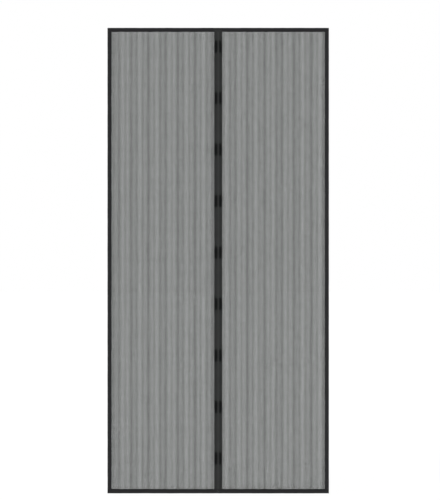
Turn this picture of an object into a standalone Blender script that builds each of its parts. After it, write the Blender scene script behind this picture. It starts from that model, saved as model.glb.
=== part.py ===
"""Magnetic insect screen for a doorway: two netting panels that meet at a slit
held shut by bar magnets, with folded tape on every edge.

Metres, +Z up. The front faces -Y and +X is to the right seen from the front.
The origin is the middle of the back face of the fastening strip along the top
edge, so y = 0 is the door frame and the whole screen lies at y < 0.
"""

import math

import bmesh
import bpy
from mathutils import Vector

# Overall size
WIDTH = 0.9906
HEIGHT = 2.0828
EDGE_TAPE = 0.0180  # width of the folded tape over the top and the sides, seen from the front
HEM_TAPE = 0.0197  # width of the folded tapes on the hems
PLACKET = 0.0177  # width of each of the two tapes that meet in the middle
SLIT = 0.0004  # the gap between the two plackets
HEADER = 0.0072  # how far below the top edge the plackets' front leaves stop

TOP = EDGE_TAPE / 2
BOTTOM = TOP - HEIGHT
SIDE = WIDTH / 2

# Layers, from the door frame (y = 0) forwards
GAP = 0.0003
STRIP_T = 0.0015  # fastening strip
LEAF = 0.0006  # one thickness of tape
NET_T = 0.0004
BACK_LEAF = -(STRIP_T + GAP)  # rear face of every folded tape
NET_BACK = BACK_LEAF - LEAF - GAP
NET_FRONT = NET_BACK - NET_T
EDGE_FRONT = NET_FRONT - GAP - LEAF  # front face of the edge tapes
PLACKET_FRONT = EDGE_FRONT - GAP - LEAF  # the plackets pass over the top tape

# Magnet stations
STATIONS = 9
FIRST_STATION = 0.0841  # centre of the first, below the top edge
PITCH = 0.2303
MAGNET = Vector((0.0092, 0.0025, 0.0380))  # across, thick, long
POCKET_W = 0.0142
POCKET_L = 0.0540
POCKET_OUT = 0.0  # from the placket's outer edge to the pocket's
POCKET_WALL = 0.0006
POCKET_BACK = PLACKET_FRONT - GAP

# Fastening strips
STRIP_W = 0.0150
STRIP_END = 0.0060  # from the side edge to the end of the top strip
STRIP_FOOT = 0.0120  # from the bottom edge to the end of the side strips


def material(name, colour, roughness, metallic=0.0):
    found = bpy.data.materials.new(name)
    found.use_nodes = True
    shader = found.node_tree.nodes["Principled BSDF"]
    shader.inputs["Base Color"].default_value = (*colour, 1.0)
    shader.inputs["Roughness"].default_value = roughness
    shader.inputs["Metallic"].default_value = metallic
    found.diffuse_color = (*colour, 1.0)
    return found


def object_of(name, bm, look):
    bmesh.ops.recalc_face_normals(bm, faces=bm.faces)
    mesh = bpy.data.meshes.new(name)
    bm.to_mesh(mesh)
    bm.free()
    made = bpy.data.objects.new(name, mesh)
    bpy.context.scene.collection.objects.link(made)
    mesh.materials.append(look)
    return made


def smooth(made, angle=40):
    made.data.shade_smooth()
    made.data.set_sharp_from_angle(angle=math.radians(angle))


def block(name, low, high, look, bevel=0.0):
    bm = bmesh.new()
    bmesh.ops.create_cube(bm, size=1.0)
    low, high = Vector(low), Vector(high)
    for v in bm.verts:
        v.co = Vector(
            low[i] if v.co[i] < 0 else high[i] for i in range(3)
        )
    if bevel:
        bmesh.ops.bevel(
            bm,
            geom=list(bm.edges),
            offset=bevel,
            segments=2,
            profile=0.5,
            affect="EDGES",
        )
    return object_of(name, bm, look)


def fold_outline(depth, back, front, leaf, steps=6):
    """The section of a tape folded over an edge, as (distance in from the edge, y)."""
    outer = (back - front) / 2
    inner = outer - leaf
    middle = (back + front) / 2
    rim = []
    for radius, order in ((outer, 1), (inner, -1)):
        arc = [(depth, middle - radius)]
        for i in range(steps + 1):
            turn = math.pi * i / steps
            arc.append(
                (outer - radius * math.sin(turn), middle - radius * math.cos(turn))
            )
        arc.append((depth, middle + radius))
        rim += arc[::order]
    return rim


def folded_tape(name, outline, place, start, end, look):
    """The outline drawn along a straight edge: place(s, y, t) gives a point."""
    bm = bmesh.new()
    ring = [bm.verts.new(place(s, y, start)) for s, y in outline]
    cap = bm.faces.new(ring)
    grown = bmesh.ops.extrude_face_region(bm, geom=[cap])
    ends = [g for g in grown["geom"] if isinstance(g, bmesh.types.BMVert)]
    move = Vector(place(0, 0, end)) - Vector(place(0, 0, start))
    bmesh.ops.translate(bm, verts=ends, vec=move)
    made = object_of(name, bm, look)
    smooth(made)
    return made


def round_ring(bm, centre, w, l, radius, y, steps=3):
    """A loop of points round an oblong with rounded corners, in a plane of constant y."""
    ring = []
    for sx, sz, first in ((1, 1, 0), (-1, 1, 90), (-1, -1, 180), (1, -1, 270)):
        for i in range(steps + 1):
            turn = math.radians(first + 90 * i / steps)
            ring.append(
                bm.verts.new(
                    (
                        centre.x + sx * (w / 2 - radius) + radius * math.cos(turn),
                        y,
                        centre.z + sz * (l / 2 - radius) + radius * math.sin(turn),
                    )
                )
            )
    return ring


def bridge(bm, a, b):
    for i in range(len(a)):
        j = (i + 1) % len(a)
        bm.faces.new((a[i], a[j], b[j], b[i]))


def pocket(name, centre, look):
    """A patch with a flat sewn margin and a raised middle, hollow behind for the magnet."""
    hold = MAGNET.x + 2 * GAP, MAGNET.z + 2 * GAP
    top = POCKET_BACK - GAP - MAGNET.y - GAP - POCKET_WALL
    raised = hold[0] + 2 * POCKET_WALL, hold[1] + 2 * POCKET_WALL
    rings = (
        (hold[0], hold[1], 0.0006, top + POCKET_WALL),
        (hold[0], hold[1], 0.0006, POCKET_BACK),
        (POCKET_W, POCKET_L, 0.0012, POCKET_BACK),
        (POCKET_W, POCKET_L, 0.0012, POCKET_BACK - POCKET_WALL),
        (raised[0] + 0.0006, raised[1] + 0.0016, 0.0012, POCKET_BACK - POCKET_WALL),
        (raised[0], raised[1], 0.0012, POCKET_BACK - 2 * POCKET_WALL),
        (raised[0], raised[1], 0.0012, top + 0.0006),
        (raised[0] - 0.0008, raised[1] - 0.0008, 0.0010, top),
    )
    bm = bmesh.new()
    loops = [round_ring(bm, centre, w, l, r, y) for w, l, r, y in rings]
    for a, b in zip(loops, loops[1:]):
        bridge(bm, a, b)
    bm.faces.new(loops[0])
    bm.faces.new(loops[-1])
    made = object_of(name, bm, look)
    smooth(made, 50)
    return made


for old in list(bpy.data.objects):
    bpy.data.objects.remove(old, do_unlink=True)

netting = material("netting", (0.120, 0.129, 0.124), 0.75)
edge_tape = material("edge_tape", (0.016, 0.016, 0.017), 0.85)
placket_tape = material("placket_tape", (0.021, 0.022, 0.022), 0.85)
pocket_cloth = material("pocket_cloth", (0.004, 0.005, 0.005), 0.80)
magnet_bar = material("magnet_bar", (0.055, 0.055, 0.060), 0.50)
loop_strip = material("loop_strip", (0.016, 0.016, 0.017), 0.95)

# The tape over the top edge, in one length across both panels.
edge_fold = fold_outline(EDGE_TAPE, BACK_LEAF, EDGE_FRONT, LEAF)
folded_tape(
    "top_binding", edge_fold, lambda s, y, t: (t, y, TOP - s), -SIDE, SIDE, edge_tape
)

hem_fold = fold_outline(HEM_TAPE, BACK_LEAF, EDGE_FRONT, LEAF)
placket_fold = fold_outline(PLACKET, BACK_LEAF, PLACKET_FRONT, LEAF)
foot = BOTTOM + HEM_TAPE + GAP
head = TOP - EDGE_TAPE - GAP

# The plackets' rear leaves stop under the top tape, and their front leaves pass over it.
notch = block(
    "header_notch",
    (-0.05, EDGE_FRONT - GAP, head),
    (0.05, 0.01, TOP + 0.02),
    edge_tape,
)
notch.hide_render = True
notch.display_type = "WIRE"

for side, sign in (("left", -1), ("right", 1)):
    outer = 0.0010  # from a folded edge to the netting's own edge
    inner = 0.0012 + SLIT / 2
    xs = sorted((sign * (SIDE - outer), sign * inner))
    block(
        f"{side}_mesh_panel",
        (xs[0], NET_FRONT, BOTTOM + outer),
        (xs[1], NET_BACK, TOP - outer),
        netting,
    )
    folded_tape(
        f"{side}_side_binding",
        edge_fold,
        lambda s, y, t, k=sign: (k * (SIDE - s), y, t),
        foot,
        head,
        edge_tape,
    )
    folded_tape(
        f"{side}_bottom_binding",
        hem_fold,
        lambda s, y, t, k=sign: (k * t, y, BOTTOM + s),
        SLIT / 2,
        SIDE,
        edge_tape,
    )
    placket = folded_tape(
        f"{side}_magnet_placket",
        placket_fold,
        lambda s, y, t, k=sign: (k * (SLIT / 2 + s), y, t),
        foot,
        TOP - HEADER,
        placket_tape,
    )
    cut = placket.modifiers.new("notch", "BOOLEAN")
    cut.operation = "DIFFERENCE"
    cut.solver = "EXACT"
    cut.object = notch

    # One pocket with its magnet at each station.
    across = sign * (SLIT / 2 + PLACKET - POCKET_OUT - POCKET_W / 2)
    for number in range(1, STATIONS + 1):
        centre = Vector((across, 0, TOP - FIRST_STATION - PITCH * (number - 1)))
        pocket(f"{side}_magnet_pocket_{number}", centre, pocket_cloth)
        rear = POCKET_BACK - GAP
        bar = block(
            f"{side}_magnet_{number}",
            (centre.x - MAGNET.x / 2, rear - MAGNET.y, centre.z - MAGNET.z / 2),
            (centre.x + MAGNET.x / 2, rear, centre.z + MAGNET.z / 2),
            magnet_bar,
            bevel=0.0004,
        )
        smooth(bar)

    # The fastening strip behind the side tape.
    middle = sign * (SIDE - EDGE_TAPE / 2)
    block(
        f"{side}_loop_strip",
        (middle - STRIP_W / 2, -STRIP_T, BOTTOM + STRIP_FOOT),
        (middle + STRIP_W / 2, 0, -STRIP_W / 2 - 0.0025),
        loop_strip,
    )

block(
    "top_loop_strip",
    (-SIDE + STRIP_END, -STRIP_T, -STRIP_W / 2),
    (SIDE - STRIP_END, 0, STRIP_W / 2),
    loop_strip,
)
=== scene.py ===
"""The looks of a doorway insect screen: two netting panels with folded tape on
their edges, which meet at a slit held shut by magnets in sewn pockets.

Metres, +Z up, front towards -Y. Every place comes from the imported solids.
"""

import math

import bpy
import numpy as np
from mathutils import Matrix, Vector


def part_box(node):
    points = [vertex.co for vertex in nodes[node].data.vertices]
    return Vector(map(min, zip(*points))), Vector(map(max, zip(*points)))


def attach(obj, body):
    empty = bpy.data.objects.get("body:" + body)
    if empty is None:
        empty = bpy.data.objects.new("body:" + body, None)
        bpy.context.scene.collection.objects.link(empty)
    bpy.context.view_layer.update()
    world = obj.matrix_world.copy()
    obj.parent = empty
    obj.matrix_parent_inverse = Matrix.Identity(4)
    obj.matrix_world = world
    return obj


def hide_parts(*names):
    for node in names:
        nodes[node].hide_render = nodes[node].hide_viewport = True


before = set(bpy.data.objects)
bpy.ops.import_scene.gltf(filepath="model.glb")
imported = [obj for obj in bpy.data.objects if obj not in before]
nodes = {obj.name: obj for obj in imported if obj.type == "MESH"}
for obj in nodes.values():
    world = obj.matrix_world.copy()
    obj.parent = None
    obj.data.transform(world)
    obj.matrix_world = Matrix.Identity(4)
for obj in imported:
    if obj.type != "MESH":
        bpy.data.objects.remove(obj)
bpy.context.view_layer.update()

# ---------------------------------------------------------------- the frame's own sizes

top_low, top_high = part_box("top_binding")
hem_low, hem_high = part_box("right_bottom_binding")
side_low, side_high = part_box("right_side_binding")
plk_low, plk_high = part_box("right_magnet_placket")
net_low, net_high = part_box("right_mesh_panel")

SIDE, TOP, BOTTOM = top_high.x, top_high.z, hem_low.z
TAPE = top_high.z - top_low.z  # width of the top and side tapes
HEM = hem_high.z - hem_low.z  # width of the hem tapes
REAR, FRONT = top_high.y, top_low.y  # rear and front faces of the edge tapes
SLIT = plk_low.x  # half the gap between the plackets
PLACKET = plk_high.x - plk_low.x
PLACKET_FRONT = plk_low.y
PLACKET_HEAD = plk_high.z
NET_Y = (net_low.y + net_high.y) / 2
LEAF = 0.0006
IN_X, OUT_X = plk_high.x, SIDE - TAPE  # the netting that shows, across
HEIGHT = TOP - BOTTOM


def ease(x):
    x = np.clip(x, 0.0, 1.0)
    return x * x * (3 - 2 * x)


def billow(x, z):
    """How far the hung cloth stands off its flat place, in y: nothing along the top, the sides and the slit."""
    u = np.clip((np.abs(x) - IN_X) / (OUT_X - IN_X), 0, 1)
    v = np.clip((TOP - z) / HEIGHT, 0, 1)
    other = np.where(np.asarray(x) < 0, 0.0, 2.1)
    loose = np.sin(np.pi * u) * ease(v / 0.16)
    wave = 0.0013 * np.sin(2 * np.pi * 1.2 * v + 0.7 + other)
    wave += 0.0008 * np.sin(2 * np.pi * (1.4 * u + 2.3 * v) + 1.9 * other)
    wave += 0.0010 * ease((v - 0.6) / 0.4) * np.sin(2 * np.pi * 1.6 * u + 0.9 + other)
    return loose * (wave - 0.0014)


# ---------------------------------------------------------------- mesh building


class Builder:
    """Collects points and faces, then makes one object."""

    def __init__(self):
        self.points, self.wear, self.count = [], [], 0
        self.quads, self.tris = [], []

    def add(self, points, wear=0.0):
        points = np.asarray(points, float)
        flat = points.reshape(-1, 3)
        index = np.arange(self.count, self.count + len(flat)).reshape(points.shape[:-1])
        self.points.append(flat)
        self.wear.append(np.broadcast_to(wear, points.shape[:-1]).reshape(-1))
        self.count += len(flat)
        return index

    def loft(self, rings, closed=True):
        """rings is an array (stations, points round) of indices."""
        a, b = rings[:-1], rings[1:]
        if closed:
            self.quads.append(
                np.stack([a, np.roll(a, -1, 1), np.roll(b, -1, 1), b], -1).reshape(-1, 4)
            )
        else:
            self.quads.append(
                np.stack([a[:, :-1], a[:, 1:], b[:, 1:], b[:, :-1]], -1).reshape(-1, 4)
            )

    def make(self, name, material, outward=True, smooth=None):
        points = np.concatenate(self.points)
        quads = (
            np.concatenate(self.quads) if self.quads else np.zeros((0, 4), int)
        ).astype(np.int32)
        tris = (
            np.concatenate(self.tris) if self.tris else np.zeros((0, 3), int)
        ).astype(np.int32)
        mesh = bpy.data.meshes.new(name)
        mesh.vertices.add(len(points))
        mesh.vertices.foreach_set("co", points.astype(np.float32).ravel())
        mesh.loops.add(quads.size + tris.size)
        mesh.loops.foreach_set("vertex_index", np.concatenate([quads.ravel(), tris.ravel()]))
        mesh.polygons.add(len(quads) + len(tris))
        starts = np.concatenate(
            [np.arange(len(quads)) * 4, quads.size + np.arange(len(tris)) * 3]
        ).astype(np.int32)
        mesh.polygons.foreach_set("loop_start", starts)
        mesh.update(calc_edges=True)
        # A per-point mask of rubbed wear and painted highlight on rounded edges, zero where it is not set.
        wear = mesh.attributes.new("wear", "FLOAT", "POINT")
        wear.data.foreach_set("value", np.concatenate(self.wear).astype(np.float32))
        if outward:
            corners = points[quads] if len(quads) else points[tris]
            volume = np.einsum(
                "ij,ij->i", corners[:, 0], np.cross(corners[:, 1], corners[:, 2])
            ).sum()
            if len(quads):
                volume += np.einsum(
                    "ij,ij->i", corners[:, 0], np.cross(corners[:, 2], corners[:, 3])
                ).sum()
                if len(tris):
                    c = points[tris]
                    volume += np.einsum("ij,ij->i", c[:, 0], np.cross(c[:, 1], c[:, 2])).sum()
            if volume < 0:
                mesh.flip_normals()
        if smooth is not None:
            mesh.shade_smooth()
            mesh.set_sharp_from_angle(angle=math.radians(smooth))
        mesh.validate()
        made = bpy.data.objects.new(name, mesh)
        bpy.context.scene.collection.objects.link(made)
        mesh.materials.append(material)
        return made


def flat_map(made):
    """A map of the piece as it hangs, across and down."""
    mesh = made.data
    co = np.zeros(len(mesh.vertices) * 3, np.float32)
    mesh.vertices.foreach_get("co", co)
    co = co.reshape(-1, 3)
    low, high = co.min(0), co.max(0)
    uv = (co[:, [0, 2]] - low[[0, 2]]) / np.maximum(high[[0, 2]] - low[[0, 2]], 1e-6)
    corner = np.zeros(len(mesh.loops), np.int32)
    mesh.loops.foreach_get("vertex_index", corner)
    layer = mesh.uv_layers.new(name="OFBake")
    layer.data.foreach_set("uv", uv[corner].astype(np.float32).ravel())


# ---------------------------------------------------------------- the netting's stripes

# Soft upright stripes, in steps of brightness: a 26 mm rhythm and its half, over a slow 70 mm one.
STRIPES = {
    "left": [(-8.3, 0.0260, 0.0), (-2.0, 0.0130, 0.0), (6.8, 0.0697, 0.0)],
    "right": [(-8.0, 0.0260, 0.0), (-2.0, 0.0130, 0.0), (6.5, 0.0697, 0.41 + math.pi)],
}
# Soft beads along them, every 70 mm down.
BEAD = 0.06975
BEADS = {
    "left": [(1.0, 0.0, 0.96), (0.5, 28.5, -2.99), (0.3, -28.5, -1.19)],
    "right": [(1.24, 14.5, -0.46), (0.91, -14.5, 2.70)],
}
BY_TONE = 0.4  # the share of a stripe that is in the yarn's tone, and not in its thickness
STEP_TONE = 0.035  # change of tone for one step of brightness


def stripes(x, side):
    return sum(a * np.cos(2 * np.pi * x / p + f) for a, p, f in STRIPES[side])


# ---------------------------------------------------------------- materials


def cloth(name, colour, rough, specular, sheen=0.0):
    made = bpy.data.materials.new(name)
    made.use_nodes = True
    shader = made.node_tree.nodes["Principled BSDF"]
    shader.inputs["Base Color"].default_value = (*colour, 1)
    shader.inputs["Roughness"].default_value = rough
    shader.inputs["Specular IOR Level"].default_value = specular
    shader.inputs["Sheen Weight"].default_value = sheen
    shader.inputs["Sheen Roughness"].default_value = 0.6
    return made, made.node_tree, shader


def maths(tree, kind, a, b=None, c=None):
    node = tree.nodes.new("ShaderNodeMath")
    node.operation = kind
    for i, value in enumerate((a, b, c)):
        if value is None:
            continue
        if isinstance(value, (int, float)):
            node.inputs[i].default_value = value
        else:
            tree.links.new(value, node.inputs[i])
    return node.outputs[0]


def place_of(tree):
    coords = tree.nodes.new("ShaderNodeTexCoord")
    split = tree.nodes.new("ShaderNodeSeparateXYZ")
    tree.links.new(coords.outputs["Object"], split.inputs[0])
    return coords.outputs["Object"], split.outputs


def noise(tree, at, scale, detail=2.0, stretch=None, rough=0.5):
    if stretch:
        mapping = tree.nodes.new("ShaderNodeMapping")
        mapping.inputs["Scale"].default_value = stretch
        tree.links.new(at, mapping.inputs["Vector"])
        at = mapping.outputs[0]
    node = tree.nodes.new("ShaderNodeTexNoise")
    node.inputs["Scale"].default_value = scale
    node.inputs["Detail"].default_value = detail
    node.inputs["Roughness"].default_value = rough
    tree.links.new(at, node.inputs["Vector"])
    return node.outputs["Fac"]


def ramp(tree, fac, stops):
    node = tree.nodes.new("ShaderNodeValToRGB")
    while len(node.color_ramp.elements) < len(stops):
        node.color_ramp.elements.new(0.5)
    for element, (at, colour) in zip(node.color_ramp.elements, stops):
        element.position = at
        element.color = (*colour, 1)
    tree.links.new(fac, node.inputs["Fac"])
    return node.outputs["Color"]


def bump(tree, shader, height, distance, strength):
    node = tree.nodes.new("ShaderNodeBump")
    node.inputs["Distance"].default_value = distance
    node.inputs["Strength"].default_value = strength
    tree.links.new(height, node.inputs["Height"])
    tree.links.new(node.outputs[0], shader.inputs["Normal"])


# Reads the mask of rubbed wear and painted highlight on rounded edges.
def worn_and_highlit(tree):
    node = tree.nodes.new("ShaderNodeAttribute")
    node.attribute_name = "wear"
    return node.outputs["Fac"]


def scaled(colour, k):
    return tuple(min(1.0, c * k) for c in colour)


def tape_material(name, colour, along, lift=1.9):
    """Ribbed woven tape: fine ribs across its length, warp threads along it, and paler along its folds, as rubbed
    wear and a painted highlight.
    """
    made, tree, shader = cloth(name, colour, 0.9, 0.10, 0.04)
    at, xyz = place_of(tree)
    run, across = (xyz["X"], xyz["Z"]) if along == "X" else (xyz["Z"], xyz["X"])
    wander = noise(tree, at, 160.0, 2.0)
    rib_at = maths(tree, "MULTIPLY_ADD", run, 2 * math.pi / 0.00105, wander)
    rib = maths(tree, "MULTIPLY_ADD", maths(tree, "SINE", rib_at), 0.5, 0.5)
    warp_at = maths(tree, "MULTIPLY", across, 2 * math.pi / 0.00062)
    warp = maths(tree, "MULTIPLY_ADD", maths(tree, "SINE", warp_at), 0.5, 0.5)
    fibre = noise(tree, at, 2600.0, 2.0)
    weave = maths(tree, "MULTIPLY_ADD", warp, 0.35, maths(tree, "MULTIPLY", rib, 0.65))
    height = maths(tree, "MULTIPLY_ADD", fibre, 0.3, weave)
    bump(tree, shader, height, 0.00022, 0.55)
    patches = noise(tree, at, 18.0, 3.0)
    # Paler along the folds: rubbed wear and a painted highlight on the rounded edge.
    rub_and_highlight = maths(tree, "MULTIPLY", worn_and_highlit(tree), maths(tree, "MULTIPLY_ADD", noise(tree, at, 90.0, 3.0), 0.9, 0.45))
    tone = maths(tree, "MULTIPLY_ADD", weave, 0.30, maths(tree, "MULTIPLY_ADD", patches, 0.34, 0.02))
    tone = maths(tree, "ADD", tone, maths(tree, "MULTIPLY", rub_and_highlight, 0.55))
    tree.links.new(
        ramp(
            tree,
            tone,
            [
                (0.0, scaled(colour, 0.55)),
                (0.36, colour),
                (1.0, scaled(colour, lift)),
            ],
        ),
        shader.inputs["Base Color"],
    )
    rough = maths(tree, "MULTIPLY_ADD", fibre, 0.12, 0.82)
    tree.links.new(rough, shader.inputs["Roughness"])
    return made


def pocket_material(name, colour):
    """Close plain-woven cloth, black, with the edges of the raised bar a little paler, as rubbed wear and a painted
    highlight.
    """
    made, tree, shader = cloth(name, colour, 0.8, 0.08, 0.02)
    at, xyz = place_of(tree)
    a = maths(tree, "SINE", maths(tree, "MULTIPLY", xyz["X"], 2 * math.pi / 0.0007))
    b = maths(tree, "SINE", maths(tree, "MULTIPLY", xyz["Z"], 2 * math.pi / 0.0007))
    weave = maths(tree, "MULTIPLY_ADD", maths(tree, "MULTIPLY", a, b), 0.5, 0.5)
    fibre = noise(tree, at, 2200.0, 2.0)
    bump(tree, shader, maths(tree, "MULTIPLY_ADD", fibre, 0.35, weave), 0.00018, 0.5)
    patches = noise(tree, at, 60.0, 3.0)
    # Paler at the edges of the raised bar: rubbed wear and a painted highlight.
    rub_and_highlight = maths(tree, "MULTIPLY", worn_and_highlit(tree), noise(tree, at, 240.0, 3.0))
    tone = maths(tree, "MULTIPLY_ADD", weave, 0.22, maths(tree, "MULTIPLY_ADD", patches, 0.30, 0.02))
    tone = maths(tree, "ADD", tone, maths(tree, "MULTIPLY", rub_and_highlight, 0.9))
    tree.links.new(
        ramp(tree, tone, [(0.0, scaled(colour, 0.6)), (0.3, colour), (1.0, scaled(colour, 2.4))]),
        shader.inputs["Base Color"],
    )
    tree.links.new(maths(tree, "MULTIPLY_ADD", fibre, 0.16, 0.70), shader.inputs["Roughness"])
    return made


def net_material(name, colour, side):
    """Dull polyester yarn: the stripes' and beads' own tone, paler and darker lengths, and the twist of the yarn."""
    made, tree, shader = cloth(name, colour, 0.75, 0.12, 0.05)
    at, xyz = place_of(tree)
    x, z = xyz["X"], xyz["Z"]

    def wave(amount, kx, kz, phase):
        turn = maths(tree, "MULTIPLY_ADD", x, 2 * math.pi * kx, phase)
        if kz:
            turn = maths(tree, "MULTIPLY_ADD", z, 2 * math.pi * kz, turn)
        return maths(tree, "MULTIPLY", maths(tree, "COSINE", turn), amount)

    tone = None
    for amount, period, phase in STRIPES[side]:
        part = wave(amount * STEP_TONE * BY_TONE, 1 / period, 0, phase)
        tone = part if tone is None else maths(tree, "ADD", tone, part)
    for amount, kx, phase in BEADS[side]:
        tone = maths(tree, "ADD", tone, wave(amount * STEP_TONE, kx, 1 / BEAD, phase))
    lengths = noise(tree, at, 30.0, 3.0, stretch=(1.0, 1.0, 0.28))
    yarns = noise(tree, at, 700.0, 1.0, stretch=(1.0, 0.3, 0.02))
    turns = maths(tree, "MULTIPLY", maths(tree, "MULTIPLY_ADD", x, 0.7, z), 2 * math.pi / 0.0009)
    twist = maths(tree, "MULTIPLY_ADD", maths(tree, "SINE", turns), 0.5, 0.5)
    tone = maths(tree, "MULTIPLY_ADD", lengths, 0.22, tone)
    tone = maths(tree, "MULTIPLY_ADD", yarns, 0.30, tone)
    tone = maths(tree, "MULTIPLY_ADD", twist, 0.04, tone)
    # 0.28 is the middle of the three, so the middle of the ramp is the yarn's own colour.
    tree.links.new(
        ramp(
            tree,
            maths(tree, "ADD", tone, 0.22),
            [(0.0, scaled(colour, 0.5)), (0.5, colour), (1.0, scaled(colour, 1.5))],
        ),
        shader.inputs["Base Color"],
    )
    tree.links.new(maths(tree, "MULTIPLY_ADD", lengths, 0.2, 0.62), shader.inputs["Roughness"])
    return made


def thread_material(name, colour):
    made, tree, shader = cloth(name, colour, 0.55, 0.22, 0.0)
    at, xyz = place_of(tree)
    ply = maths(tree, "ADD", maths(tree, "ADD", xyz["X"], xyz["Z"]), xyz["Y"])
    ply = maths(tree, "SINE", maths(tree, "MULTIPLY", ply, 2 * math.pi / 0.00045))
    ply = maths(tree, "MULTIPLY_ADD", ply, 0.5, 0.5)
    bump(tree, shader, ply, 0.0001, 0.6)
    tone = maths(tree, "MULTIPLY_ADD", ply, 0.4, maths(tree, "MULTIPLY", noise(tree, at, 120.0, 2.0), 0.6))
    tree.links.new(
        ramp(tree, tone, [(0.15, scaled(colour, 0.6)), (0.5, colour), (0.9, scaled(colour, 1.7))]),
        shader.inputs["Base Color"],
    )
    return made


def pile_material(name, colour):
    """The soft loops of a fastening strip: tangled fibres, with a painted highlight where they stand high and
    painted shade in the dark gaps between them.
    """
    made, tree, shader = cloth(name, colour, 0.9, 0.10, 0.10)
    at, xyz = place_of(tree)
    one = noise(tree, at, 1900.0, 2.0, stretch=(1.0, 1.0, 0.30), rough=0.6)
    two = noise(tree, at, 1900.0, 2.0, stretch=(0.30, 1.0, 1.0), rough=0.6)
    three = noise(tree, at, 700.0, 3.0, rough=0.65)
    tangle = maths(tree, "ADD", maths(tree, "MAXIMUM", one, two), maths(tree, "MULTIPLY", three, 0.8))
    bump(tree, shader, tangle, 0.0005, 0.9)
    patches = noise(tree, at, 40.0, 3.0)
    # Painted highlight and painted shade: the tone follows the pile's height, lighter on the raised fibres and
    # darker in the gaps.
    tone = maths(tree, "MULTIPLY_ADD", tangle, 1.5, -1.05)
    tone = maths(tree, "MULTIPLY_ADD", patches, 0.35, tone)
    tree.links.new(
        ramp(tree, tone, [(0.05, scaled(colour, 0.35)), (0.45, colour), (0.95, scaled(colour, 3.0))]),
        shader.inputs["Base Color"],
    )
    return made


def ferrite_material(name, colour):
    made, tree, shader = cloth(name, colour, 0.5, 0.4)
    at, xyz = place_of(tree)
    grain = noise(tree, at, 1800.0, 4.0, rough=0.7)
    blot = noise(tree, at, 120.0, 3.0)
    bump(tree, shader, grain, 0.00005, 0.4)
    tone = maths(tree, "MULTIPLY_ADD", grain, 0.5, maths(tree, "MULTIPLY", blot, 0.5))
    tree.links.new(
        ramp(tree, tone, [(0.3, scaled(colour, 0.6)), (0.5, colour), (0.75, scaled(colour, 1.6))]),
        shader.inputs["Base Color"],
    )
    tree.links.new(maths(tree, "MULTIPLY_ADD", grain, 0.3, 0.35), shader.inputs["Roughness"])
    return made


TAPE_COLOUR = (0.0158, 0.0158, 0.0168)
PLACKET_COLOUR = (0.0212, 0.0222, 0.0217)
POCKET_COLOUR = (0.0042, 0.0046, 0.0046)
NET_COLOUR = (0.1200, 0.1287, 0.1244)

tape_down = tape_material("edge_tape_down", TAPE_COLOUR, "Z")
tape_across = tape_material("edge_tape_across", scaled(TAPE_COLOUR, 0.94), "X")
placket_cloth = tape_material("placket_tape", PLACKET_COLOUR, "Z", 1.8)
pocket_cloth = pocket_material("pocket_cloth", POCKET_COLOUR)
net_yarn = {side: net_material(f"{side}_net_yarn", NET_COLOUR, side) for side in STRIPES}
thread = thread_material("sewing_thread", (0.026, 0.026, 0.027))
pocket_thread = thread_material("pocket_thread", (0.016, 0.016, 0.017))
pile = pile_material("loop_pile", (0.016, 0.016, 0.017))
ferrite = ferrite_material("ferrite", (0.055, 0.055, 0.060))

# ---------------------------------------------------------------- netting

WALE = 0.00170  # from one upright yarn to the next
COURSE = 0.00180  # from one cross yarn to the next
YARN_T = 0.00024
WALE_PART = 0.672  # the share of the pitch that a yarn covers
COURSE_PART = 0.58
STEP_OPEN = 0.00455  # change of openness for one step of brightness


def netting(name, node, side, seed):
    low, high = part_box(node)
    own = np.random.default_rng(seed)
    build = Builder()

    # Upright yarns: their width sets how much light comes through.
    count = int(round((high.x - low.x) / WALE))
    x = low.x + (np.arange(count) + 0.5) * (high.x - low.x) / count
    z = np.linspace(low.z, high.z, 41)
    by_tape = 12 * np.exp(-(((OUT_X - np.abs(x)) / 0.0060) ** 2))
    by_placket = 8 * np.exp(-(((np.abs(x) - IN_X) / 0.0070) ** 2))
    steps = stripes(x, side) * (1 - BY_TONE) - by_tape - by_placket
    part = WALE_PART - steps * STEP_OPEN / (1 - COURSE_PART)
    part = part * (1 + own.normal(0, 0.016, count))
    beads = own.normal(0, 1, (count + 4, len(z)))
    beads = sum(beads[i : i + count] for i in range(5)) / math.sqrt(5)
    width = WALE * np.clip(part[:, None] * (1 + 0.019 * beads), 0.40, 0.92)
    x = x + own.normal(0, 0.00004, count)
    sway = 0.00012 * np.sin(2 * np.pi * z / 0.31 + 1.0)[None, :] * np.ones((count, 1))
    cx = x[:, None] + sway
    cy = NET_Y + billow(cx, z[None, :])
    cz = np.broadcast_to(z, cx.shape)
    ring = np.stack(
        [
            np.stack([cx - width / 2, cy + 0.00005, cz], -1),
            np.stack([cx, cy - YARN_T * 0.75, cz], -1),
            np.stack([cx + width / 2, cy + 0.00005, cz], -1),
        ],
        2,
    )
    add_yarns(build, ring)

    # Cross yarns.
    count = int(round((high.z - low.z) / COURSE))
    z = low.z + (np.arange(count) + 0.5) * (high.z - low.z) / count
    x = np.linspace(low.x, high.x, 15)
    below = TOP - TAPE - z  # how far under the top tape
    steps = 4.0 * np.exp(-(((below - 0.0065) / 0.004) ** 2))
    steps -= 1.4 * np.exp(-(((below - 0.0145) / 0.004) ** 2))
    steps -= 1.1 * np.exp(-(((below - 0.0275) / 0.004) ** 2))
    part = COURSE_PART - steps * STEP_OPEN / (1 - WALE_PART)
    width = COURSE * part * (1 + own.normal(0, 0.016, count))
    z = z + own.normal(0, 0.00005, count)
    dip = 0.00018 * np.sin(2 * np.pi * x / 0.17 + 0.4)[None, :] * np.ones((count, 1))
    cz = z[:, None] + dip
    cx = np.broadcast_to(x, cz.shape)
    cy = NET_Y + billow(cx, cz)
    w = np.broadcast_to(width[:, None], cz.shape)
    ring = np.stack(
        [
            np.stack([cx, cy - 0.00002, cz - w / 2], -1),
            np.stack([cx, cy + YARN_T * 0.75, cz + 0 * w], -1),
            np.stack([cx, cy - 0.00002, cz + w / 2], -1),
        ],
        2,
    )
    add_yarns(build, ring)
    made = build.make(name, net_yarn[side])
    flat_map(made)
    return made


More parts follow.
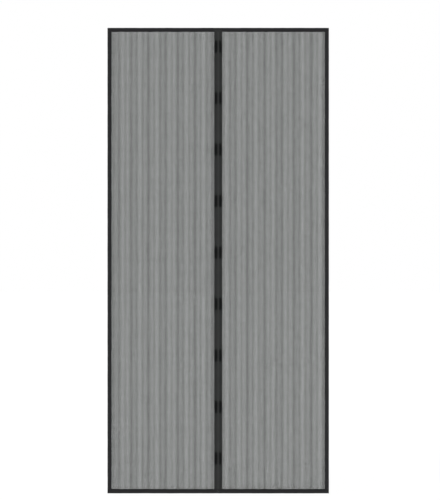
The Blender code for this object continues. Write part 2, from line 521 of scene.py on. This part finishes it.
def add_yarns(build, ring):
    """ring is (yarns, stations, points round, 3), and each yarn becomes a closed bar that faces out."""
    first = ring[0]
    edge = first[1:, 0] - first[:-1, 0]
    turn = np.cross(first[0, 1] - first[0, 0], first[0, 2] - first[0, 0])
    if np.dot(turn, edge[0]) > 0:
        ring = ring[:, :, ::-1]
    index = build.add(ring)
    a, b = index[:, :-1], index[:, 1:]
    build.quads.append(
        np.stack([a, b, np.roll(b, -1, 2), np.roll(a, -1, 2)], -1).reshape(-1, 4)
    )
    build.tris.append(index[:, 0])
    build.tris.append(index[:, -1][:, ::-1])


pieces = []


def piece(made, slot_name, *stands_for):
    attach(made, "root")
    if stands_for:
        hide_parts(*stands_for)
    pieces.append(made)
    return made


for side, seed in (("left", 7), ("right", 19)):
    node = f"{side}_mesh_panel"
    made = piece(netting(f"{side}_netting", node, side, seed), "netting", node)

# ---------------------------------------------------------------- folded tapes


def waver(t, seed, sizes=((0.19, 1.0), (0.083, 0.7), (0.037, 0.45))):
    """A slow uneven line, about -1 to 1, the same each run."""
    phases = np.random.default_rng(seed).uniform(0, 2 * np.pi, len(sizes))
    return sum(a * np.sin(2 * np.pi * t / l + p) for (l, a), p in zip(sizes, phases)) / 2.15


class Tape:
    """A tape folded over an edge. s runs in from the fold, t along the edge."""

    def __init__(
        self, depth, rear, front, place, seed, seam=0.0022, tucks=(), fold=None, crease=None, pinch=None
    ):
        self.depth, self.rear, self.front = depth, rear, front
        self.place, self.seed, self.seam, self.tucks = place, seed, seam, tucks
        self.fold = fold or (lambda t: 0.00022 * waver(t, seed + 1))  # the folded edge's wander
        self.crease = crease  # where the fold is pressed sharp, so that its front leaf can run on alone
        self.pinch = pinch  # where the two leaves are drawn together, as a share of the way
        self.radius = (rear - front) / 2
        self.middle = (rear + front) / 2

    def pressed(self, t):
        """From 0, free, to 1, pressed flat inside the tape that is sewn over it."""
        q = np.zeros_like(t)
        for at, way in self.tucks:
            q = np.maximum(q, ease((way * (t - at) + 0.0060) / 0.0055))
        return q

    def face(self, s, t, front):
        """y of the cloth's outer face at s and t, before it is pressed."""
        full = self.depth - self.radius
        crown = 0.00013 * np.sin(np.pi * np.clip((s - self.radius) / full, 0, 1))
        groove = 0.00020 * np.exp(-(((s - (self.depth - self.seam)) / 0.0008) ** 2))
        groove = groove + 0.00012 * np.exp(-(((s - 0.0026) / 0.0006) ** 2)) * front
        lip = 0.00008 * ease((s - (self.depth - self.seam * 0.6)) / (self.seam * 0.6))
        pucker = 0.00011 * waver(t, self.seed + (3 if front else 8), ((0.031, 1.0), (0.0171, 0.8), (0.067, 0.7)))
        pucker = pucker * np.clip(s / self.depth, 0, 1)
        out = crown - groove + lip + pucker
        return np.where(front, self.front - out, self.rear + out)

    def point(self, s, y, t):
        """The place of (s, y, t), with the edge's wander and the pressed ends."""
        q = self.pressed(t)
        y = y + (NET_Y + (y - self.middle) * 0.42 - y) * q
        if self.pinch:
            y = y + (self.middle - y) * self.pinch(t)
        out = self.fold(t)
        inner = 0.00020 * waver(t, self.seed + 2)
        s = s + out + (inner * (1 - q) - out) * np.clip(s / self.depth, 0, 1)
        return self.place(s, y, t)

    def section(self):
        """Places in from the fold, from a leaf's edge to where it starts to turn."""
        d, r = self.depth, self.radius
        flat = [d - 0.00015, d - 0.0009]
        flat += [d - self.seam + 0.0006, d - self.seam, d - self.seam - 0.0007]
        inner = d - self.seam - 0.0022
        return [*flat, inner, (inner + 0.0036) / 2, 0.0036, 0.0026, r]

    def build(self, ts, head=None, cut=None):
        """A closed solid along ts. With head, the front leaf alone runs on along those stations."""
        build = Builder()
        ts = np.asarray(ts, float)
        flat = self.section()
        arcs = np.linspace(0, np.pi, 9)[1:-1]
        r = self.radius
        rows = []
        for s in flat:
            yo = self.face(s, ts, True)
            rows.append((np.full_like(ts, s), yo, np.full_like(ts, s), yo + LEAF))
        sharp = np.zeros_like(ts)
        if self.crease is not None:
            sharp = ease((ts - self.crease + 0.0070) / 0.0065)
        for a in arcs:
            so, yo = r - r * np.sin(a), self.middle - r * np.cos(a)
            si, yi = r - (r - LEAF) * np.sin(a), self.middle - (r - LEAF) * np.cos(a)
            row = [np.full_like(ts, v) for v in (so, yo, si, yi)]
            if a < 1.5:
                flat_y = self.face(row[0], ts, True)
                row[1] = row[1] + (flat_y - row[1]) * sharp
                row[2] = row[2] + (row[0] - row[2]) * sharp
                row[3] = row[3] + (flat_y + LEAF - row[3]) * sharp
            rows.append(tuple(row))
        for s in flat[::-1]:
            yo = self.face(s, ts, False)
            rows.append((np.full_like(ts, s), yo, np.full_like(ts, s), yo - LEAF))
        outer = np.stack([self.point(so, yo, ts) for so, yo, _, _ in rows], 1)
        inner = np.stack([self.point(si, yi, ts) for _, _, si, yi in rows], 1)
        d = np.full_like(ts, self.depth)
        lips = [
            self.point(d, (rows[k][1] + rows[k][3]) / 2, ts)[:, None] for k in (0, -1)
        ]
        # Strongest at the fold and fading within about 3 mm of it: the mask of rubbed wear and painted highlight.
        wear = np.exp(-(((np.array([r_[0][0] for r_ in rows])) / 0.0030) ** 2))
        m = len(rows)
        io = build.add(outer, np.broadcast_to(wear, outer.shape[:2]))
        ii = build.add(inner)
        lf, lb = build.add(lips[0]), build.add(lips[1])
        ring = np.concatenate([io, lb, ii[:, ::-1], lf], 1)
        build.loft(ring)
        for k, last in ((0, False), (-1, True)):
            o, i, f, b = io[k], ii[k], lf[k, 0], lb[k, 0]
            start = 0
            if last and head is not None:
                start = cut
            quads = np.stack([o[start:-1], o[start + 1 :], i[start + 1 :], i[start:-1]], -1)
            tris = [[o[-1], b, i[-1]]]
            if start == 0:
                tris.append([o[0], i[0], f])
            tris = np.array(tris)
            if last:
                quads, tris = quads[:, ::-1], tris[:, ::-1]
            build.quads.append(quads)
            build.tris.append(tris)
        if head is not None:
            head = np.asarray(head, float)
            rows = []
            for s in [*flat, *(r - r * np.sin(arcs))][: cut + 1]:
                yo = self.face(s, head, True)
                rows.append((np.full_like(head, s), yo))
            lift = -0.00012 * ease((head - ts[-1]) / 0.004)
            outer = np.stack([self.point(s, y + lift, head) for s, y in rows], 1)
            inner = np.stack([self.point(s, y + lift + LEAF, head) for s, y in rows], 1)
            lip = self.point(np.full_like(head, self.depth), rows[0][1] + lift + LEAF / 2, head)
            wear = np.zeros(len(rows))
            ho = np.concatenate([io[-1:, : cut + 1], build.add(outer, wear)])
            hi = np.concatenate([ii[-1:, : cut + 1], build.add(inner)])
            hl = np.concatenate([lf[-1:], build.add(lip[:, None])])
            ring = np.concatenate([ho, hi[:, ::-1], hl], 1)
            build.loft(ring)
            o, i, f = ho[-1], hi[-1], hl[-1, 0]
            quads = np.stack([o[:-1], o[1:], i[1:], i[:-1]], -1)[:, ::-1]
            build.quads.append(quads)
            build.tris.append(np.array([[o[0], i[0], f]])[:, ::-1])
        return build


def stations(a, b, step=0.0050, ends=(0.0, 0.0)):
    """Places along an edge from a to b, closer together near ends that are pressed."""
    count = max(2, int(round((b - a) / step)))
    ts = np.linspace(a, b, count + 1)
    extra = []
    if ends[0]:
        extra.append(a + np.linspace(0, ends[0], 14))
    if ends[1]:
        extra.append(b - np.linspace(0, ends[1], 14))
    return np.unique(np.round(np.concatenate([ts, *extra]), 6))


STEP = 0.0050
TUCK = 0.0080  # how far an end runs on inside the tape sewn over it


def straight(x, y, z):
    return np.stack(np.broadcast_arrays(x, y, z), -1).astype(float)


tapes = {}

# Over the top edge, in one length.
top = Tape(TAPE, REAR, FRONT, lambda s, y, t: straight(t, y, TOP - s), 100)
tapes["top"] = (top, -SIDE, SIDE)
made = piece(
    top.build(stations(-SIDE, SIDE, STEP)).make("top_tape", tape_across, smooth=50),
    "edge_tape",
    "top_binding",
)

for side, k, seed in (("left", -1.0, 200), ("right", 1.0, 300)):
    # Down the outer edge, with its ends sewn in under the tapes that cross it.
    down = Tape(
        TAPE,
        REAR,
        FRONT,
        lambda s, y, t, k=k: straight(k * (SIDE - s), y, t),
        seed,
        tucks=((TOP - TAPE, 1), (BOTTOM + HEM, -1)),
    )
    ends = BOTTOM + HEM - TUCK, TOP - TAPE + TUCK
    tapes[f"{side}_side"] = (down, BOTTOM + HEM, TOP - TAPE)
    made = piece(
        down.build(stations(*ends, STEP, (0.016, 0.016))).make(
            f"{side}_side_tape", tape_down, smooth=50
        ),
        "edge_tape",
        f"{side}_side_binding",
    )

    # Along the hem, which hangs free and follows the cloth.
    hem = Tape(
        HEM,
        REAR,
        FRONT,
        lambda s, y, t, k=k: straight(k * t, y + billow(k * t, BOTTOM + s), BOTTOM + s),
        seed + 20,
        # The end at the slit is turned in and rounded off.
        pinch=lambda t: 0.62 * np.clip(1 - t / 0.0020, 0, 1) ** 2,
    )
    tapes[f"{side}_hem"] = (hem, SLIT, SIDE)
    made = piece(
        hem.build(stations(0.00004, SIDE, STEP, (0.0030, 0.0))).make(
            f"{side}_hem_tape", tape_across, smooth=50
        ),
        "edge_tape",
        f"{side}_bottom_binding",
    )

    # The placket beside the slit. Its foot is sewn into the hem, and its front leaf passes over the top tape.
    foot, neck = BOTTOM + HEM - TUCK, TOP - TAPE - 0.0003
    plk = Tape(
        PLACKET,
        REAR,
        PLACKET_FRONT,
        lambda s, y, t, k=k: straight(k * (SLIT + s), y, t),
        seed + 40,
        tucks=((BOTTOM + HEM, -1),),
        # The two folded edges lie against each other along one slightly wandering line.
        fold=lambda t, k=k: -SLIT + k * 0.00026 * waver(t, 77),
        crease=neck,
    )
    tapes[f"{side}_placket"] = (plk, BOTTOM + HEM, PLACKET_HEAD)
    made = piece(
        plk.build(
            stations(foot, neck, STEP, (0.016, 0.009)),
            head=neck + (PLACKET_HEAD - neck) * np.linspace(0.15, 1, 7),
            cut=len(plk.section()) + 2,
        ).make(f"{side}_placket", placket_cloth, smooth=50),
        "placket_tape",
        f"{side}_magnet_placket",
    )

# ---------------------------------------------------------------- magnet pockets


def both_ways(half):
    """A list of distances from the middle, made into one even grid line."""
    half = np.array(half) / 1000
    return np.concatenate([-half[:0:-1], half])


ACROSS = (0, 1.3, 2.5, 3.4, 4.0, 4.45, 4.8, 5.1, 5.35, 5.6, 5.85, 6.1, 6.35, 6.6, 6.85, 7.1)
DOWN = (0, 2.1, 4.2, 6.3, 8.4, 10.5, 12.6, 14.6, 16.4, 17.6, 18.4, 18.9, 19.25, 19.55, 19.8, 20.05)
DOWN += (20.3, 20.55, 20.8, 21.2, 21.8, 22.7, 23.7, 24.7, 25.3, 25.7, 26.1, 26.6, 27.0)
SEW_X, SEW_Z, SEW_END = 0.0066, 0.0209, 0.0257  # the rows of stitches, from a pocket's middle


def pocket(name, node, seed):
    """A sewn patch over a bar magnet: a flat margin, stitched grooves, and the cloth pulled over the bar."""
    low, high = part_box(node)
    cx, cz = (low.x + high.x) / 2, (low.z + high.z) / 2
    w, l = high.x - low.x, high.z - low.z
    own = np.random.default_rng(seed)
    turn = own.uniform(0, 2 * np.pi, 8)
    px, pz = np.meshgrid(both_ways(ACROSS), both_ways(DOWN))
    a, b = px / (w / 2), pz / (l / 2)
    # Distance outside the bar's own outline.
    hx, hz, r = 0.0046, 0.0190, 0.0007
    qx, qz = np.abs(px) - (hx - r), np.abs(pz) - (hz - r)
    away = np.hypot(np.maximum(qx, 0), np.maximum(qz, 0)) + np.minimum(np.maximum(qx, qz), 0) - r
    over = ease((0.00172 - away) / 0.00130)
    tall = (PLACKET_FRONT - LEAF) - low.y - 0.00006
    crown = 1 - 0.022 * (px / hx) ** 2 * over - 0.018 * (pz / hz) ** 2 * over
    tight = np.exp(-(((away - 0.0013) / 0.0007) ** 2))
    pull = 0.00011 * np.sin(pz / 0.0019 + turn[0] + 0.8 * np.sin(pz / 0.0063 + turn[1])) * tight
    pull += 0.00014 * np.sin(px / 0.00085 + turn[2]) * tight * ease((np.abs(pz) - 0.0185) / 0.001)
    row = np.exp(-(((np.abs(px) - SEW_X) / 0.00035) ** 2)) * (np.abs(pz) < SEW_END)
    for at in (SEW_Z, SEW_END):
        row = np.maximum(row, np.exp(-(((np.abs(pz) - at) / 0.00045) ** 2)) * (np.abs(px) < SEW_X))
    puff = 0.00012 * np.sin(np.pi * np.clip((np.abs(pz) - SEW_Z) / (SEW_END - SEW_Z), 0, 1))
    lift = tall * over * crown + pull * (1 - 0.6 * row) - 0.00015 * row * (1 - over)
    lift += puff * (np.abs(px) < SEW_X)
    rim = ease((1 - np.maximum(np.abs(a), np.abs(b))) / 0.03)
    face = PLACKET_FRONT - 0.00005 - LEAF * (0.5 + 0.5 * rim) - np.maximum(lift, -0.0002)
    back = np.minimum(PLACKET_FRONT - 0.00003, face + LEAF * 0.9)
    back = np.where(rim < 0.02, PLACKET_FRONT - 0.00003, back)
    # Rounded corners, and cut edges that are never quite straight.
    corner = ease((np.abs(a) - 0.80) / 0.20) * ease((np.abs(b) - 0.95) / 0.05)
    x = px * (1 - 0.05 * corner) + 0.00010 * np.sin(pz / 0.0063 + turn[3]) * np.abs(a) ** 4
    z = pz * (1 - 0.013 * corner) + 0.00015 * np.sin(px / 0.0041 + turn[4]) * np.abs(b) ** 8
    # Along the bar's outline, where the cloth turns over it: the mask of rubbed wear and painted highlight.
    wear = 0.55 * np.exp(-(((away - 0.0004) / 0.0005) ** 2))
    build = Builder()
    f = build.add(np.stack([cx + x, face, cz + z], -1), wear)
    g = build.add(np.stack([cx + x, back, cz + z], -1))
    for grid, flip in ((f, False), (g, True)):
        q = np.stack([grid[:-1, :-1], grid[:-1, 1:], grid[1:, 1:], grid[1:, :-1]], -1).reshape(-1, 4)
        build.quads.append(q[:, ::-1] if flip else q)

    def around(grid):
        return np.concatenate([grid[0, :-1], grid[:-1, -1], grid[-1, :0:-1], grid[:0:-1, 0]])

    fo, go = around(f), around(g)
    build.quads.append(np.stack([fo, go, np.roll(go, -1), np.roll(fo, -1)], -1))
    made = build.make(name, pocket_cloth, smooth=60)
    return made, (cx, cz)


spots = []
for side, seed in (("left", 500), ("right", 600)):
    for number in range(1, 10):
        node = f"{side}_magnet_pocket_{number}"
        made, spot = pocket(f"{side}_pocket_{number}", node, seed + number)
        piece(made, "pocket_cloth", node)
        spots.append(spot)
        bar = nodes[f"{side}_magnet_{number}"]
        bar.data.materials.clear()
        bar.data.materials.append(ferrite)

# ---------------------------------------------------------------- fastening strips


def strip(name, node, seed):
    """Loop tape: a firm woven base with a soft uneven pile on its rear face."""
    low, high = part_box(node)
    upright = high.z - low.z > high.x - low.x
    run = (low.z, high.z) if upright else (low.x, high.x)
    across = (low.x, high.x) if upright else (low.z, high.z)
    step = 0.0032
    near = np.array([0.0008, 0.0016, 0.0023, 0.0030])
    ts = np.linspace(*run, int(round((run[1] - run[0]) / step)))
    ts = np.unique(np.concatenate([ts, run[0] + near, run[1] - near]))
    rim = np.array([0.80, 0.85, 0.91, 0.97, 1.0])
    ws = np.concatenate([-rim[::-1], np.linspace(-0.72, 0.72, 13), rim])
    own = np.random.default_rng(seed)
    half, mid = (across[1] - across[0]) / 2, (across[0] + across[1]) / 2
    shape = len(ts), len(ws)
    # A woven selvedge without loops, where it is sewn, then the pile with its tufts.
    edge = ease((0.865 - np.abs(ws)) / 0.07)[None, :]
    from_end = np.minimum(ts - run[0], run[1] - ts)
    edge = edge * ease((from_end - 0.0019) / 0.0010)[:, None]
    tufts = own.normal(0, 1, shape)
    tufts = 0.7 * tufts + 0.3 * np.roll(tufts, 1, 0)
    weft = 0.00004 * np.sin(2 * np.pi * ts / 0.0075)[:, None] * np.ones(shape)
    pile_y = high.y - (0.00075 + weft) * (1 - edge) - 0.00022 * (1 + np.clip(tufts, -1.4, 1.0)) * edge
    side_way = np.cumsum(own.normal(0, 1, len(ts)))
    side_way -= np.linspace(side_way[0], side_way[-1], len(ts))
    side_way = 0.00012 * np.sin(side_way * 0.35)
    w = mid + ws[None, :] * half * 0.992 + side_way[:, None]
    t = np.broadcast_to(ts[:, None], shape)
    base = np.array([1.0, 0.0, -1.0])

    def put(w, y, t):
        return np.stack([w, y, t] if upright else [t, y, w], -1)

    build = Builder()
    top_side = build.add(put(w, pile_y, t))
    bw = mid + base[None, :] * half * 0.992 + side_way[:, None]
    under = build.add(put(bw, np.full(bw.shape, low.y + 0.00005), np.broadcast_to(ts[:, None], bw.shape)))
    build.loft(np.concatenate([top_side, under], 1))
    # Each cut end, as fans from the base's three points.
    h = len(ws) // 2
    for k, flip in ((0, False), (-1, True)):
        o, u = top_side[k], under[k]
        fans = [[u[2], o[i], o[i + 1]] for i in range(h)]
        fans += [[u[0], o[i], o[i + 1]] for i in range(h, len(ws) - 1)]
        fans += [[u[2], o[h], u[1]], [u[1], o[h], u[0]]]
        fans = np.array(fans)
        build.tris.append(fans[:, ::-1] if flip else fans)
    made = build.make(name, pile, smooth=75)
    # Where the stitches lie: along both selvedges, and across both ends.
    sewn = half * 0.895
    y = high.y - 0.00070
    lines = [(put(mid + k * sewn, y, run[0] + 0.0012), put(mid + k * sewn, y, run[1] - 0.0012)) for k in (-1, 1)]
    lines += [(put(mid - sewn, y, t), put(mid + sewn, y, t)) for t in (run[0] + 0.0012, run[1] - 0.0012)]
    return made, lines


strip_lines = []
for name, node, seed in (
    ("top_fastening_strip", "top_loop_strip", 71),
    ("left_fastening_strip", "left_loop_strip", 72),
    ("right_fastening_strip", "right_loop_strip", 73),
):
    made, lines = strip(name, node, seed)
    piece(made, "loop_strip", node)
    strip_lines += lines

# ---------------------------------------------------------------- stitching


def sew(name, material, rows, slot_name):
    """rows holds (points, directions, out) arrays: one small arched stitch at each point."""
    at = np.concatenate([r[0] for r in rows])
    ahead = np.concatenate([r[1] for r in rows])
    out = np.concatenate([r[2] for r in rows])
    long_ = np.concatenate([np.full(len(r[0]), r[3]) for r in rows])
    thick = np.concatenate([np.full(len(r[0]), r[4]) for r in rows])
    beside = np.cross(ahead, out)
    ring = [(-1, 0, -0.9, 0)]
    for end in (-0.55, 0.55):
        for b, c in ((-1, -0.30), (0, 0.90), (1, -0.30)):
            ring.append((end, b, c, 0.28))
    ring.append((1, 0, -0.9, 0))
    ring = np.array(ring)
    p = (
        at[:, None]
        + ahead[:, None] * (ring[None, :, 0:1] * long_[:, None, None] / 2)
        + beside[:, None] * (ring[None, :, 1:2] * thick[:, None, None] / 2)
        + out[:, None] * ((ring[None, :, 2:3] + ring[None, :, 3:4]) * thick[:, None, None] / 2)
    )
    build = Builder()
    index = build.add(p)
    for k in range(3):
        j = (k + 1) % 3
        build.quads.append(index[:, [1 + k, 1 + j, 4 + j, 4 + k]])
        build.tris.append(index[:, [0, 1 + j, 1 + k]])
        build.tris.append(index[:, [7, 4 + k, 4 + j]])
    made = build.make(name, material, smooth=80)
    flat_map(made)
    return piece(made, slot_name)


def row_on(tape, s, a, b, front, pitch=0.0031, length=0.0025, thick=0.00046):
    """Stitches along a tape, s in from its fold, on its front or rear face."""
    count = int((b - a) / pitch)
    t = a + (np.arange(count) + 0.5) * (b - a) / count
    away = -1.0 if front else 1.0
    def at(tt):
        ss = np.full_like(tt, s)
        y = tape.face(ss, tt, front) + away * np.where(tt > TOP - TAPE, 0.00016, 0.00004)
        return tape.point(ss, y, tt)
    p = at(t)
    d = at(t + length / 2) - at(t - length / 2)
    d /= np.linalg.norm(d, axis=1, keepdims=True)
    out = np.zeros_like(p)
    out[:, 1] = away
    out -= d * (out * d).sum(1, keepdims=True)
    out /= np.linalg.norm(out, axis=1, keepdims=True)
    return p, d, out, length, thick


edge_rows, placket_rows = [], []
for name, (tape, a, b) in tapes.items():
    if "placket" in name:
        for s in (tape.depth - tape.seam, 0.0026):
            placket_rows.append(row_on(tape, s, a + 0.001, PLACKET_HEAD - 0.0022, True))
            placket_rows.append(row_on(tape, s, a + 0.001, TOP - TAPE - 0.001, False))
        # Two short rows across hold the head down on the top tape.
        k = -1.0 if "left" in name else 1.0
        for up in (PLACKET_HEAD - 0.0018, TOP - TAPE + 0.0018):
            n = 4
            f = np.linspace(0.0044, tape.depth - 0.0040, n)
            p = tape.point(f, tape.face(f, np.full(n, up), True) - 0.00016, np.full(n, up))
            placket_rows.append(
                (p, np.tile([k, 0.0, 0.0], (n, 1)), np.tile([0.0, -1.0, 0.0], (n, 1)), 0.0025, 0.00046)
            )
    elif "hem" in name:
        for front in (True, False):
            edge_rows.append(row_on(tape, tape.depth - tape.seam, a + 0.001, b - 0.001, front))
    else:
        # The two rows that hold the fastening strip go right through the tape.
        for s in (tape.depth - tape.seam, 0.0025):
            edge_rows.append(row_on(tape, s, a + 0.001, b - 0.001, True))
sew("edge_stitching", thread, edge_rows, "edge_tape")
sew("placket_stitching", thread, placket_rows, "placket_tape")

strip_rows = []
for p0, p1 in strip_lines:
    span = np.linalg.norm(p1 - p0)
    count = max(3, int(span / 0.0033))
    f = ((np.arange(count) + 0.5) / count)[:, None]
    d = np.tile((p1 - p0) / span, (count, 1))
    strip_rows.append((p0 + (p1 - p0) * f, d, np.tile([0.0, 1.0, 0.0], (count, 1)), 0.0026, 0.00046))
sew("strip_stitching", thread, strip_rows, "loop_strip")

pocket_rows = []
for cx, cz in spots:
    for x0, z0, x1, z1 in (
        (-SEW_X, -SEW_END, SEW_X, -SEW_END),
        (SEW_X, -SEW_END, SEW_X, SEW_END),
        (SEW_X, SEW_END, -SEW_X, SEW_END),
        (-SEW_X, SEW_END, -SEW_X, -SEW_END),
        (-SEW_X, -SEW_Z, SEW_X, -SEW_Z),
        (SEW_X, SEW_Z, -SEW_X, SEW_Z),
    ):
        span = math.hypot(x1 - x0, z1 - z0)
        count = max(3, int(round(span / 0.0027)))
        f = (np.arange(count) + 0.5) / count
        y = np.full(count, PLACKET_FRONT - LEAF + 0.00002)
        p = np.stack([cx + x0 + (x1 - x0) * f, y, cz + z0 + (z1 - z0) * f], -1)
        d = np.tile([(x1 - x0) / span, 0, (z1 - z0) / span], (count, 1))
        pocket_rows.append((p, d, np.tile([0.0, -1.0, 0.0], (count, 1)), 0.0021, 0.00044))
sew("pocket_stitching", pocket_thread, pocket_rows, "pocket_cloth")

# ---------------------------------------------------------------- stage, light and camera

FLOOR_Z = BOTTOM - 0.012
scene = bpy.context.scene

mesh = bpy.data.meshes.new("floor")
mesh.from_pydata(
    [(-60, -60, FLOOR_Z), (60, -60, FLOOR_Z), (60, 60, FLOOR_Z), (-60, 60, FLOOR_Z)],
    [],
    [(0, 1, 2, 3)],
)
floor = bpy.data.objects.new("floor", mesh)
scene.collection.objects.link(floor)
paint = bpy.data.materials.new("studio_floor")
paint.use_nodes = True
shader = paint.node_tree.nodes["Principled BSDF"]
shader.inputs["Base Color"].default_value = (0.10, 0.10, 0.10, 1)
shader.inputs["Roughness"].default_value = 1.0
shader.inputs["Specular IOR Level"].default_value = 0.0
shader.inputs["Emission Color"].default_value = (1, 1, 1, 1)
shader.inputs["Emission Strength"].default_value = 0.93
mesh.materials.append(paint)

FILL = 0.50
world = bpy.data.worlds.new("studio")
world.use_nodes = True
tree = world.node_tree
tree.nodes["Background"].inputs["Color"].default_value = (1, 1, 1, 1)
# The backdrop is plain white, and it lights the cloth at part of that strength, so the lamps can model it.
seen = tree.nodes.new("ShaderNodeLightPath").outputs["Is Camera Ray"]
tree.links.new(maths(tree, "MULTIPLY_ADD", seen, 1 - FILL, FILL), tree.nodes["Background"].inputs["Strength"])
scene.world = world


def lamp(name, kind, energy, where, aim, **extra):
    data = bpy.data.lights.new(name, kind)
    data.energy = energy
    for key, value in extra.items():
        setattr(data, key, value)
    made = bpy.data.objects.new(name, data)
    made.location = where
    direction = np.array(aim, float) - np.array(where, float)
    from mathutils import Vector

    made.rotation_mode = "QUATERNION"
    made.rotation_quaternion = Vector(direction).to_track_quat("-Z", "Y")
    scene.collection.objects.link(made)
    return made


lamp("key", "SUN", 2.0, (-3.0, -4.2, 2.6), (0, 0, 0), angle=math.radians(14))
lamp("back_key", "SUN", 1.6, (2.6, 4.0, 2.4), (0, 0, 0), angle=math.radians(20))

PX = 0.0044736  # metres of the screen's plane to one pixel of a frame 500 high
LENS = 200.0
camera_data = bpy.data.cameras.new("camera")
camera_data.lens = LENS
camera_data.sensor_width = 36.0
camera_data.sensor_fit = "AUTO"
camera = bpy.data.objects.new("camera", camera_data)
scene.collection.objects.link(camera)
distance = LENS * 500 * PX / 36.0
camera.location = (
    (220 - 218.19) * PX,
    FRONT - distance,
    (TOP + BOTTOM) / 2 + (260.61 - 250) * PX,
)
camera.rotation_euler = (math.pi / 2, 0, 0)
camera_data.clip_start, camera_data.clip_end = 0.1, 300
scene.camera = camera

scene.view_settings.view_transform = "Standard"
scene.view_settings.look = "None"
scene.view_settings.exposure = 0.0
scene.view_settings.gamma = 1.0
